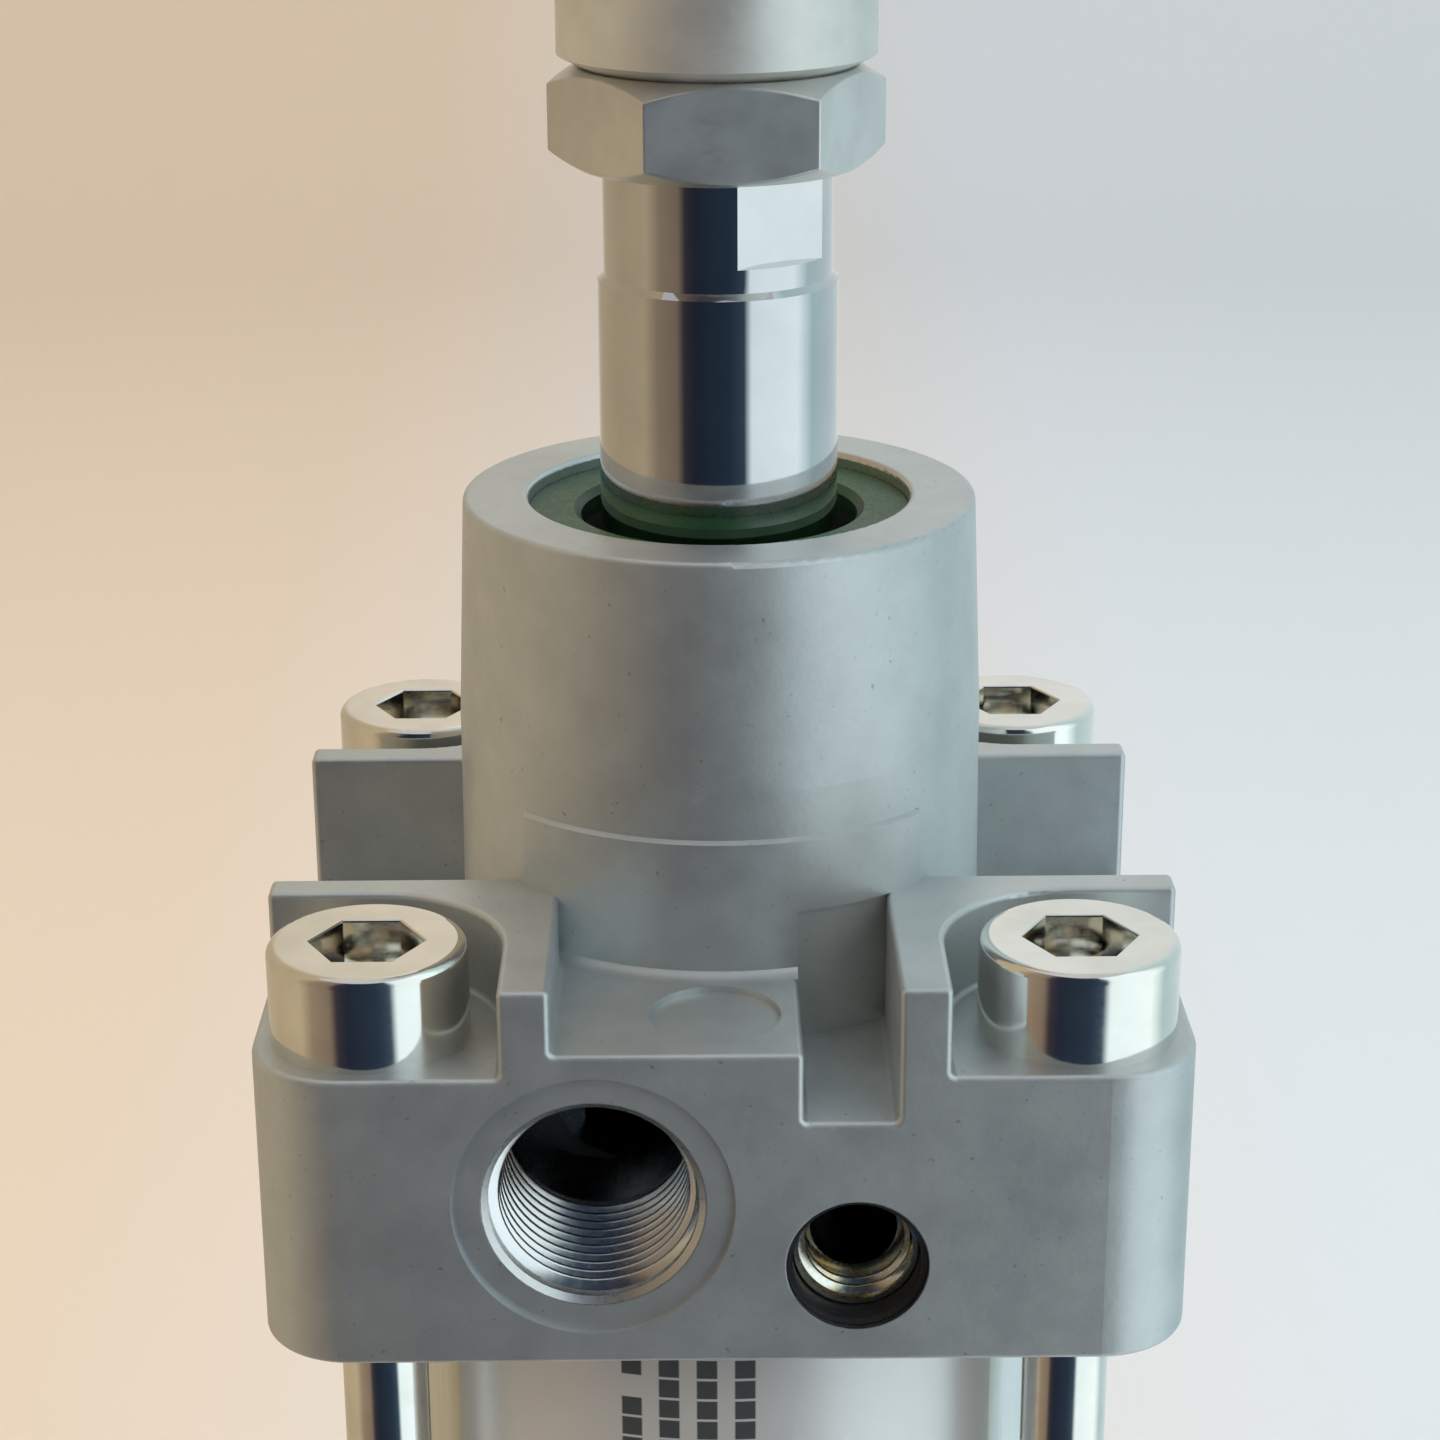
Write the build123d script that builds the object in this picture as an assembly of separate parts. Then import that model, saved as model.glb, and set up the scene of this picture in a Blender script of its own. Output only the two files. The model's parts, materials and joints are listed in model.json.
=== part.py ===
from build123d import *
import os
from math import cos, radians, sin, tan

# Double-acting tie-rod pneumatic cylinder with adjustable cushioning at both ends.
# Millimetres. +Z runs along the piston rod, out of the front head. The origin is the centre
# of the rear mounting face. -Y is the side with the air ports and the cushion needles.

# ---- cylinder size
BORE = 63.0
STROKE = 50.0
ROD_OUT_AT_REST = 20.0            # how far the rod is already out in the modelled position
MOUNTING_LENGTH = 121.0 + STROKE  # rear mounting face to front mounting face
SQUARE = 75.0                     # width of both end castings
BOLT_SPACING = 56.5               # tie rods, and the mounting screws in their nuts
BOLT = BOLT_SPACING / 2

# ---- end castings, in a local frame with the mounting face at z = 0 and the body below it
CASTING_LENGTH = 32.4
CORNER_RADIUS = 7.5
EDGE_RADIUS = 0.5
SPIGOT_LENGTH = 12.0
SPIGOT_RADIUS = 31.4
CHANNEL_HALF_WIDTH = 14.3         # the open channels left and right of the hub
CHANNEL_FLOOR = -12.5
RECESS_HALF_WIDTH = 13.5          # the shallow recesses in front of and behind the hub
RECESS_FLOOR = -5.4
SLOT_START_X = 6.1                # the deep slot at the right of the front recess
SLOT_FLOOR = -11.3
HUB_FILLET = 1.7
DIMPLE_RADIUS = 5.25              # round ejector mark in the front recess
DIMPLE_X, DIMPLE_Y = -0.7, -29.8
DIMPLE_DEPTH = 0.5
POCKET_RADIUS = 10.7
POCKET_FLOOR = -7.4
NUT_SHANK_HOLE_RADIUS = 5.6
NUT_SHANK_HOLE_END = -24.4
TIE_ROD_HOLE_RADIUS = 4.3

# ---- front collar, the centring diameter of the mounting face
COLLAR_TOP = 29.4
COLLAR_RADIUS = 22.4
COLLAR_ROOT_RADIUS = 22.6         # drafted part of the collar below the panel's top edge
COLLAR_STRAIGHT_END = 10.4
COLLAR_TOP_RADIUS = 21.63
COLLAR_EDGE = 0.5
PANEL_TOP = 6.4                   # raised panel low on the collar's front
PANEL_HALF_WIDTH = 16.3
PANEL_PROUD = 0.25
SEAL_BORE_RADIUS = 16.1
SEAL_BORE_FLOOR = 12.0

# ---- rear boss and its centring recess
BOSS_RADIUS = 27.0
CENTRING_RADIUS = 22.5
CENTRING_DEPTH = 4.0

# ---- air passages and cushioning
CHAMBER_RADIUS = 14.0
FRONT_CHAMBER_END = -9.0          # where the rod bearing's seat starts
REAR_CHAMBER_END = -10.0
CUSHION_GROOVE_RADIUS = 17.0
CUSHION_GROOVE_LENGTH = 5.0
CUSHION_GROOVE_INSET = 1.0
CUSHION_RADIUS = 13.0
CUSHION_LENGTH = 20.0
PORT_X, PORT_Z = -10.4, -18.5
PORT_RADIUS = 8.35                # G3/8, outer diameter of the thread
PORT_MOUTH_CHAMFER = 0.5
PORT_THREAD_LENGTH = 15.0         # behind the chamfer
PORT_DRILL_RADIUS = 8.0           # from the thread's end into the chamber
SPOTFACE_RADIUS = 11.2
SPOTFACE_DEPTH = 0.5
NEEDLE_X, NEEDLE_Z = 10.4, -23.8
NEEDLE_HOLE_RADIUS = 5.65
NEEDLE_HOLE_DEPTH = 7.5
NEEDLE_BORE_RADIUS = 5.15
NEEDLE_BORE_DEPTH = 14.6
NEEDLE_THREAD_HOLE_RADIUS = 3.55
NEEDLE_THREAD_HOLE_DEPTH = 19.0
NEEDLE_SEAT_RADIUS = 1.6

# ---- barrel and tie rods
BARREL_RADIUS = 34.0
RING_GROOVE_RADIUS = 29.5         # groove for the ring that seals the barrel's end
RING_GROOVE_WIDTH = 2.4
RING_GROOVE_INSET = 5.0           # from the barrel's end to the groove's middle
RING_SECTION_RADIUS = 0.97
TIE_ROD_RADIUS = 3.55
TIE_ROD_THREAD_RADIUS = 4.0
TIE_ROD_THREAD_LENGTH = 12.0
TIE_ROD_END = -18.0               # below the mounting faces, inside the nuts
NUT_RADIUS = 8.0
NUT_HEIGHT = 7.2                  # flange above the pocket floor
FRONT_NUT_PROUD = 0.5             # the front nuts stand this far above the mounting face
NUT_EDGE = 0.8
NUT_SHANK_RADIUS = 5.5
NUT_SHANK_LENGTH = 16.5
NUT_SOCKET_AF = 8.0
NUT_SOCKET_DEPTH = 4.0
SOCKET_EDGE = 0.2
MOUNTING_THREAD_RADIUS = 3.4      # M8, inner diameter of the thread
LABEL_THICKNESS = 0.15
LABEL_GAP = 0.02
LABEL_HALF_ANGLE = 41.0
LABEL_BOTTOM, LABEL_TOP = 88.0, 137.6

# ---- piston rod and what it carries
ROD_RADIUS = 10.0
ROD_TIP_RADIUS = 9.5
ROD_SHOULDER = MOUNTING_LENGTH + 37.0 + ROD_OUT_AT_REST
ROD_STEP = ROD_SHOULDER - 8.9
ROD_FLATS_AF = 17.0
ROD_FLATS_LENGTH = 7.0
ROD_FLATS_ANGLE = 35.6            # of the front flat's normal, from -Y towards +X
ROD_THREAD_RADIUS = 8.0           # M16 x 1.5
ROD_THREAD_LENGTH = 32.0
ROD_THREAD_CHAMFER = 1.2
ROD_EDGE = 0.4
STUB_RADIUS = 7.0                 # through the piston, and M14 beyond it
STUB_CHAMFER = 1.0
STUB_BEYOND_NUT = 2.0
PISTON_RADIUS = 31.0
PISTON_CHAMFER = 1.0
LAND_RADIUS = 29.2                # under the guide ring, flush with the magnet
END_CLEARANCE = 0.1               # left between piston and casting at each end of the stroke
PISTON_SPACE = MOUNTING_LENGTH - 2 * (CASTING_LENGTH + SPIGOT_LENGTH + END_CLEARANCE)
PISTON_LENGTH = PISTON_SPACE - STROKE
PISTON_BOTTOM = CASTING_LENGTH + SPIGOT_LENGTH + END_CLEARANCE + ROD_OUT_AT_REST
SEAL_GROOVE_RADIUS = 25.5
SEAL_GROOVE_INSET = 3.0
SEAL_GROOVE_LENGTH = 6.0
GUIDE_LENGTH = 8.0
MAGNET_LENGTH = 4.0
HUB_RADIUS = 19.0                 # of the rear half, which centres the magnet and front half
SLEEVE_FLANGE = 4.0
SLEEVE_INNER_RADIUS = 11.2
SLEEVE_TAPER_LENGTH = 3.0
SLEEVE_TAPER = 0.8                # off the radius at a sleeve's leading end
PISTON_NUT_AF = 19.0
PISTON_NUT_LENGTH = 8.0
LOCK_NUT_AF = 24.0
LOCK_NUT_LENGTH = 8.0
LOCK_NUT_ANGLE = 5.0
LOCK_NUT_EDGE = 0.25
HEX_CHAMFER_ANGLE = 30.0
HEX_SEAM_ANGLE = 15.0             # keeps a turned shape's seam off the hexagon's corners
HEX_FACE_SHARE = 0.96             # the flat annulus of a nut's face against its flats

# ---- rod clevis, M16 x 1.5 with a 16 mm slot and a 16 mm pin hole
CLEVIS_WIDTH = 32.0
CLEVIS_SLOT = 16.0
CLEVIS_PIN_RADIUS = 8.0
CLEVIS_NECK_RADIUS = 13.0
CLEVIS_NECK_CHAMFER = 2.0         # off the radius
CLEVIS_NECK_CHAMFER_HEIGHT = 1.0
CLEVIS_CONE_START = 21.0          # where the neck starts to widen into the fork
CLEVIS_CONE_END = 28.0
CLEVIS_PIN_HEIGHT = 64.0
CLEVIS_SLOT_DEPTH = 32.0          # from the pin's axis down to the slot's floor
CLEVIS_LENGTH = 83.0
CLEVIS_TURNED_RADIUS = 21.0       # turned diameter that rounds the square's corners
CLEVIS_END_CHAMFER = 5.0
CLEVIS_CORNER = 1.5
CLEVIS_EDGE = 0.5

# ---- bearing, wiper and seals
BUSH_RADIUS = 12.0
ROD_SEAL_LENGTH = 6.0
ROD_SEAL_GROOVE_MOUTH = 1.4       # half widths of the groove between the seal's two lips
ROD_SEAL_GROOVE_TIP = 0.5
ROD_SEAL_GROOVE_DEPTH = 2.6
HOLDER_INSET = 1.3                # the wiper's holder below the collar's rim
HOLDER_CHAMFER = 0.6
HOLDER_LIP = 2.0
WIPER_RADIUS = 14.0
WIPER_MOUTH_RADIUS = 11.7
WIPER_RELIEF = 1.5                # the wiper's gap to the rod away from its lip
WIPER_DISH_DEPTH = 4.2
WIPER_LIP_HEIGHT = 1.0            # from the dish's bottom to the start of the relief
WIPER_LIP_BEVEL = 0.3
CUSHION_LIP_LENGTH = 1.6
CUSHION_LIP_DISH = 1.0
CUSHION_LIP_RELIEF = 0.6
SEAL_LIP_THICKNESS = 2.2          # of the piston seals' inner lip
SEAL_VEE_WIDTH = 1.4
SEAL_VEE_DEPTH = 2.6
SEAL_LIP_TAPER = 0.7
STUB_RING_HEIGHT = 5.0            # from the piston's front end
STUB_RING_SECTION = 0.95
STUB_RING_GROOVE_DEPTH = 2.0
STUB_RING_GROOVE_WIDTH = 2.6

# ---- cushion needles, M7 x 0.75
NEEDLE_HEAD_RADIUS = 5.1
NEEDLE_HEAD_INSET = 2.8
NEEDLE_HEAD_LENGTH = 10.8
NEEDLE_EDGE = 0.15
NEEDLE_CUP_RADIUS = 4.6           # wide mouth of the socket in the head
NEEDLE_CUP_DEPTH = 3.8
NEEDLE_SOCKET_RADIUS = 3.55       # round socket below the cup
NEEDLE_SOCKET_DEPTH = 3.8
NEEDLE_KEY_AF = 4.0
NEEDLE_KEY_DEPTH = 2.6
NEEDLE_THREAD_RADIUS = 3.5
NEEDLE_TRAVEL_IN = 0.75           # one turn from here to the closed position
NEEDLE_SHOULDER_GAP = 0.2         # left at the closed position
NEEDLE_GROOVE_RADIUS = 3.6
NEEDLE_GROOVE_LENGTH = 1.7
NEEDLE_GROOVE_INSET = 0.9
NEEDLE_RING_SECTION = 0.72
NEEDLE_CONE_RADIUS = 1.4
NEEDLE_POINT_RADIUS = 0.5
NEEDLE_CONE_LENGTH = 4.0
RETAINER_INSET = 0.6

# ---- running and assembly clearances, radial
RUNNING = 0.05
ASSEMBLY = 0.05


def bar_z(radius, bottom, top, x=0.0, y=0.0):
    """Round bar along Z between two heights."""
    bottom_centre = (Align.CENTER, Align.CENTER, Align.MIN)
    return Pos(x, y, bottom) * Cylinder(radius, top - bottom, align=bottom_centre)


def tube_z(outer, inner, bottom, top, x=0.0, y=0.0):
    """Ring or tube along Z between two heights."""
    return bar_z(outer, bottom, top, x, y) - bar_z(inner, bottom, top, x, y)


def cone_z(bottom_radius, top_radius, bottom, top, x=0.0, y=0.0):
    """Cone frustum along Z between two heights."""
    middle = Pos(x, y, (bottom + top) / 2)
    return middle * Cone(bottom_radius, top_radius, top - bottom)


def bar_y(radius, front, back, x, z):
    """Round bar along Y from the nearer plane (front) to the farther one (back)."""
    middle = Pos(x, (front + back) / 2, z) * Rot(90, 0, 0)
    return middle * Cylinder(radius, back - front)


def tube_y(outer, inner, front, back, x, z):
    """Ring along Y."""
    return bar_y(outer, front, back, x, z) - bar_y(inner, front, back, x, z)


def cone_y(front_radius, back_radius, front, back, x, z):
    """Cone frustum along Y."""
    middle = Pos(x, (front + back) / 2, z) * Rot(90, 0, 0)
    return middle * Cone(back_radius, front_radius, back - front)


def block(x0, x1, y0, y1, z0, z1):
    """Rectangular block from corner to corner."""
    centre = Pos((x0 + x1) / 2, (y0 + y1) / 2, (z0 + z1) / 2)
    return centre * Box(x1 - x0, y1 - y0, z1 - z0)


def turned(points):
    """Solid of revolution about Z from an outline of (radius, height) points."""
    outline = Plane.XZ * make_face(Polyline(*points, close=True))
    return revolve(outline, axis=Axis.Z)


def hex_bar_z(across_flats, bottom, top, angle=0.0, x=0.0, y=0.0):
    """Hexagonal bar along Z with a pair of flats facing front and back, then turned."""
    outline = RegularPolygon(across_flats / 2, 6, major_radius=False)
    return Pos(x, y, bottom) * Rot(0, 0, angle) * extrude(outline, top - bottom)


def corners():
    """Plan positions of the four tie rods."""
    return [(sx * BOLT, sy * BOLT) for sy in (-1, 1) for sx in (-1, 1)]


def at_front(solid):
    """Move a solid from the casting's local frame to the front head's place."""
    return Pos(0, 0, MOUNTING_LENGTH) * solid


def at_rear(solid):
    """Mirror a solid from the casting's local frame to the rear cap's place."""
    return mirror(solid, about=Plane.XY)


# ---- end castings ----------------------------------------------------------------------


def casting_outline():
    """The square block with pockets, channels and recesses in its face, all edges rounded."""
    outline = RectangleRounded(SQUARE, SQUARE, CORNER_RADIUS)
    body = Pos(0, 0, -CASTING_LENGTH) * extrude(outline, CASTING_LENGTH)
    reach = SQUARE
    body -= block(-reach, reach, -CHANNEL_HALF_WIDTH, CHANNEL_HALF_WIDTH, CHANNEL_FLOOR, 1)
    for side in (-1, 1):
        near, far = sorted((side * CHANNEL_HALF_WIDTH, side * reach))
        body -= block(-RECESS_HALF_WIDTH, RECESS_HALF_WIDTH, near, far, RECESS_FLOOR, 1)
    body -= block(SLOT_START_X, RECESS_HALF_WIDTH, -reach, 0, SLOT_FLOOR, 1)
    for x, y in corners():
        body -= nut_pocket(x, y)
    return fillet(body.edges(), EDGE_RADIUS)


def nut_pocket(x, y):
    """Round seat for a tie-rod nut, open towards the casting's outer corner."""
    pocket = bar_z(POCKET_RADIUS, POCKET_FLOOR, 1, x, y)
    outer_x, outer_y = 2 * x, 2 * y
    inner_x = x - POCKET_RADIUS if x > 0 else x + POCKET_RADIUS
    inner_y = y - POCKET_RADIUS if y > 0 else y + POCKET_RADIUS
    pocket += block(*sorted((x, outer_x)), *sorted((inner_y, outer_y)), POCKET_FLOOR, 1)
    pocket += block(*sorted((inner_x, outer_x)), *sorted((y, outer_y)), POCKET_FLOOR, 1)
    return pocket


def hub_root(radius, floor, x0, x1, y0, y1):
    """Concave fillet where the round hub rises out of one flat floor."""
    corner = (radius, floor)
    up = (radius, floor + HUB_FILLET)
    out = (radius + HUB_FILLET, floor)
    centre = (radius + HUB_FILLET, floor + HUB_FILLET)
    inset = HUB_FILLET * sin(radians(45))
    middle = (centre[0] - inset, centre[1] - inset)
    inside = (radius - 1, floor)
    inside_up = (radius - 1, floor + HUB_FILLET)
    outline = Polyline(up, inside_up, inside, corner, out) + ThreePointArc(out, middle, up)
    ring = revolve(Plane.XZ * make_face(outline), axis=Axis.Z)
    return ring & block(x0, x1, y0, y1, floor - 1, floor + HUB_FILLET + 1)


def hub_roots(radius):
    """The hub's fillets in the two channels, the two recesses and beside the deep slot."""
    reach = SQUARE / 2
    wide, half = CHANNEL_HALF_WIDTH, RECESS_HALF_WIDTH
    roots = hub_root(radius, CHANNEL_FLOOR, -reach, 0, -wide, wide)
    roots += hub_root(radius, CHANNEL_FLOOR, 0, reach, -wide, wide)
    roots += hub_root(radius, RECESS_FLOOR, -half, SLOT_START_X, -reach, 0)
    roots += hub_root(radius, RECESS_FLOOR, -half, half, 0, reach)
    return roots


def passages():
    """Everything bored into a casting except the holes on its main axis."""
    face = -SQUARE / 2
    chamfer_back = face + SPOTFACE_DEPTH + PORT_MOUTH_CHAMFER
    cut = bar_y(PORT_RADIUS, face - 1, chamfer_back + PORT_THREAD_LENGTH, PORT_X, PORT_Z)
    cut += bar_y(PORT_DRILL_RADIUS, face - 1, -CHAMBER_RADIUS / 2, PORT_X, PORT_Z)
    mouth = PORT_RADIUS + PORT_MOUTH_CHAMFER
    cut += cone_y(mouth, PORT_RADIUS, face + SPOTFACE_DEPTH, chamfer_back, PORT_X, PORT_Z)
    cut += bar_y(SPOTFACE_RADIUS, face - 1, face + SPOTFACE_DEPTH, PORT_X, PORT_Z)
    steps = (
        (NEEDLE_HOLE_RADIUS, NEEDLE_HOLE_DEPTH),
        (NEEDLE_BORE_RADIUS, NEEDLE_BORE_DEPTH),
        (NEEDLE_THREAD_HOLE_RADIUS, NEEDLE_THREAD_HOLE_DEPTH),
        (NEEDLE_SEAT_RADIUS, -face - CHAMBER_RADIUS / 2),
    )
    for radius, depth in steps:
        cut += bar_y(radius, face - 1, face + depth, NEEDLE_X, NEEDLE_Z)
    for x, y in corners():
        cut += bar_z(NUT_SHANK_HOLE_RADIUS, NUT_SHANK_HOLE_END, POCKET_FLOOR + 1, x, y)
        cut += bar_z(TIE_ROD_HOLE_RADIUS, -CASTING_LENGTH - 1, POCKET_FLOOR, x, y)
    return cut


def chamber(end):
    """Cushion chamber with its seal groove, open at the spigot's end."""
    mouth = -CASTING_LENGTH - SPIGOT_LENGTH
    groove = mouth + CUSHION_GROOVE_INSET
    cut = bar_z(CHAMBER_RADIUS, mouth - 1, end)
    return cut + bar_z(CUSHION_GROOVE_RADIUS, groove, groove + CUSHION_GROOVE_LENGTH)


def spigot():
    """Round end that plugs into the barrel, with the groove for its ring."""
    end = -CASTING_LENGTH - SPIGOT_LENGTH
    plug = bar_z(SPIGOT_RADIUS, end, -CASTING_LENGTH)
    middle = -CASTING_LENGTH - RING_GROOVE_INSET
    low, high = middle - RING_GROOVE_WIDTH / 2, middle + RING_GROOVE_WIDTH / 2
    return plug - tube_z(SPIGOT_RADIUS + 1, RING_GROOVE_RADIUS, low, high)


def dimple():
    """Shallow round mark in the front recess."""
    bottom = RECESS_FLOOR - DIMPLE_DEPTH
    return bar_z(DIMPLE_RADIUS, bottom, RECESS_FLOOR + 1, DIMPLE_X, DIMPLE_Y)


def collar_panel():
    """Slightly raised panel on the collar's front, with a bevelled top edge."""
    proud = COLLAR_ROOT_RADIUS + PANEL_PROUD
    low, bevel = RECESS_FLOOR - 1, PANEL_TOP - PANEL_PROUD
    panel = bar_z(proud, low, bevel) + cone_z(proud, COLLAR_RADIUS, bevel, PANEL_TOP)
    panel &= block(-PANEL_HALF_WIDTH, PANEL_HALF_WIDTH, -SQUARE / 2, 0, low, PANEL_TOP)
    return panel - block(SLOT_START_X, SQUARE, -SQUARE / 2, 0, low, 0)


def make_front_head():
    """Front casting: block, spigot and the long centring collar around the rod."""
    body = casting_outline()
    collar = turned([
        (0, CHANNEL_FLOOR - 1), (COLLAR_ROOT_RADIUS, CHANNEL_FLOOR - 1),
        (COLLAR_RADIUS, PANEL_TOP), (COLLAR_RADIUS, COLLAR_STRAIGHT_END),
        (COLLAR_TOP_RADIUS, COLLAR_TOP), (0, COLLAR_TOP),
    ])
    body += collar + collar_panel() + hub_roots(COLLAR_RADIUS) + spigot()
    body -= bar_z(SEAL_BORE_RADIUS, SEAL_BORE_FLOOR, COLLAR_TOP)
    rim = body.edges().filter_by_position(Axis.Z, COLLAR_TOP - 0.01, COLLAR_TOP + 0.01)
    body = fillet(rim, COLLAR_EDGE)
    body -= bar_z(BUSH_RADIUS, FRONT_CHAMBER_END, SEAL_BORE_FLOOR)
    body -= chamber(FRONT_CHAMBER_END) + passages() + dimple()
    return at_front(body)


def make_rear_cap():
    """Rear casting: the same block with a low boss and a blind chamber."""
    body = casting_outline()
    boss = turned([
        (0, CHANNEL_FLOOR - 1), (BOSS_RADIUS, CHANNEL_FLOOR - 1),
        (BOSS_RADIUS, -EDGE_RADIUS), (BOSS_RADIUS - EDGE_RADIUS, 0), (0, 0),
    ])
    body += boss + hub_roots(BOSS_RADIUS) + spigot()
    body -= bar_z(CENTRING_RADIUS, -CENTRING_DEPTH, 0)
    body -= chamber(REAR_CHAMBER_END) + passages() + dimple()
    return at_rear(body)


# ---- barrel, tie rods and label --------------------------------------------------------


def make_barrel():
    """Plain tube between the castings."""
    top = MOUNTING_LENGTH - CASTING_LENGTH
    return tube_z(BARREL_RADIUS, BORE / 2, CASTING_LENGTH, top)


def make_tie_rod(x, y):
    """Rod with a thicker rolled thread at each end."""
    low, high = -TIE_ROD_END, MOUNTING_LENGTH + TIE_ROD_END
    rod = bar_z(TIE_ROD_RADIUS, low, high, x, y)
    rod += bar_z(TIE_ROD_THREAD_RADIUS, low, low + TIE_ROD_THREAD_LENGTH, x, y)
    return rod + bar_z(TIE_ROD_THREAD_RADIUS, high - TIE_ROD_THREAD_LENGTH, high, x, y)


def tie_rod_nut(x, y, proud):
    """Flanged socket nut: hexagon socket, mounting thread, then the tie rod's own thread."""
    top = proud
    body = bar_z(NUT_RADIUS, POCKET_FLOOR, top, x, y)
    body += bar_z(NUT_SHANK_RADIUS, POCKET_FLOOR - NUT_SHANK_LENGTH, POCKET_FLOOR, x, y)
    body = fillet(body.edges().filter_by_position(Axis.Z, top - 0.01, top + 0.01), NUT_EDGE)
    body -= hex_bar_z(NUT_SOCKET_AF, top - NUT_SOCKET_DEPTH, top + 1, 0, x, y)
    body -= bar_z(MOUNTING_THREAD_RADIUS, TIE_ROD_END, top, x, y)
    socket_rim = body.edges().filter_by_position(Axis.Z, top - 0.01, top + 0.01)
    body = fillet(socket_rim.filter_by(GeomType.LINE), SOCKET_EDGE)
    thread = TIE_ROD_THREAD_RADIUS + ASSEMBLY
    return body - bar_z(thread, POCKET_FLOOR - NUT_SHANK_LENGTH, TIE_ROD_END, x, y)


def make_front_nuts():
    """The four nuts of the front head."""
    nuts = [at_front(tie_rod_nut(x, y, FRONT_NUT_PROUD)) for x, y in corners()]
    return Compound(children=nuts)


def make_rear_nuts():
    """The four nuts of the rear cap, just below its mounting face."""
    proud = POCKET_FLOOR + NUT_HEIGHT
    return Compound(children=[at_rear(tie_rod_nut(x, y, proud)) for x, y in corners()])


def make_barrel_ring():
    """Ring that seals a casting's spigot in the barrel."""
    middle = -CASTING_LENGTH - RING_GROOVE_INSET
    centre_radius = BORE / 2 - ASSEMBLY - RING_SECTION_RADIUS
    return Pos(0, 0, middle) * Torus(centre_radius, RING_SECTION_RADIUS)


def make_label():
    """Plain data label on the front of the barrel."""
    inner = BARREL_RADIUS + LABEL_GAP
    band = tube_z(inner + LABEL_THICKNESS, inner, LABEL_BOTTOM, LABEL_TOP)
    half_width = BARREL_RADIUS * sin(radians(LABEL_HALF_ANGLE))
    return band & block(-half_width, half_width, -SQUARE, 0, LABEL_BOTTOM, LABEL_TOP)


# ---- bearing and seals in the castings -------------------------------------------------


def make_rod_bearing():
    """Sleeve bearing of the piston rod."""
    return at_front(tube_z(
        BUSH_RADIUS - ASSEMBLY, ROD_RADIUS + RUNNING,
        FRONT_CHAMBER_END + ASSEMBLY, SEAL_BORE_FLOOR - ASSEMBLY,
    ))


def make_rod_seal():
    """Grooved lip seal above the bearing."""
    low, high = SEAL_BORE_FLOOR + ASSEMBLY, SEAL_BORE_FLOOR + ROD_SEAL_LENGTH
    outer, inner = SEAL_BORE_RADIUS - ASSEMBLY, ROD_RADIUS + RUNNING
    middle = (outer + inner) / 2
    seal = tube_z(outer, inner, low, high)
    mouth, tip, depth = ROD_SEAL_GROOVE_MOUTH, ROD_SEAL_GROOVE_TIP, ROD_SEAL_GROOVE_DEPTH
    groove = turned([
        (middle - mouth, low - 1), (middle + mouth, low - 1),
        (middle + tip, low + depth), (middle - tip, low + depth),
    ])
    return at_front(seal - groove)


def make_wiper_holder():
    """Green moulded ring that holds the wiper and closes the collar."""
    low, top = SEAL_BORE_FLOOR + ROD_SEAL_LENGTH + ASSEMBLY, COLLAR_TOP - HOLDER_INSET
    outer = SEAL_BORE_RADIUS - ASSEMBLY
    return at_front(turned([
        (WIPER_RADIUS, low), (outer, low), (outer, top),
        (WIPER_MOUTH_RADIUS + HOLDER_CHAMFER, top), (WIPER_MOUTH_RADIUS, top - HOLDER_CHAMFER),
        (WIPER_MOUTH_RADIUS, top - HOLDER_LIP), (WIPER_RADIUS, top - HOLDER_LIP),
    ]))


def make_rod_wiper():
    """Black wiper whose dished face narrows to a lip on the rod."""
    low = SEAL_BORE_FLOOR + ROD_SEAL_LENGTH + 2 * ASSEMBLY
    top = COLLAR_TOP - HOLDER_INSET - HOLDER_LIP - ASSEMBLY
    outer, lip = WIPER_RADIUS - ASSEMBLY, ROD_RADIUS + RUNNING
    dish, bevel = top - WIPER_DISH_DEPTH, WIPER_LIP_BEVEL
    relief = dish - WIPER_LIP_HEIGHT
    return at_front(turned([
        (lip + WIPER_RELIEF, low), (outer, low), (outer, top), (WIPER_MOUTH_RADIUS, top),
        (lip + bevel, dish), (lip, dish - bevel), (lip, relief),
        (lip + WIPER_RELIEF, relief - bevel),
    ]))


def make_cushion_seal():
    """Lip ring that closes on the cushion sleeve near the end of the stroke."""
    low = -CASTING_LENGTH - SPIGOT_LENGTH + CUSHION_GROOVE_INSET + ASSEMBLY
    high = low + CUSHION_GROOVE_LENGTH - 2 * ASSEMBLY
    outer, inner = CUSHION_GROOVE_RADIUS - ASSEMBLY, CUSHION_RADIUS + RUNNING
    lip_top = high - CUSHION_LIP_LENGTH
    return turned([
        (inner + CUSHION_LIP_RELIEF, low), (outer, low), (outer, high),
        (inner + CUSHION_LIP_DISH, high), (inner, lip_top), (inner, lip_top - CUSHION_LIP_LENGTH),
    ])


# ---- cushion needles -------------------------------------------------------------------


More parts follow.
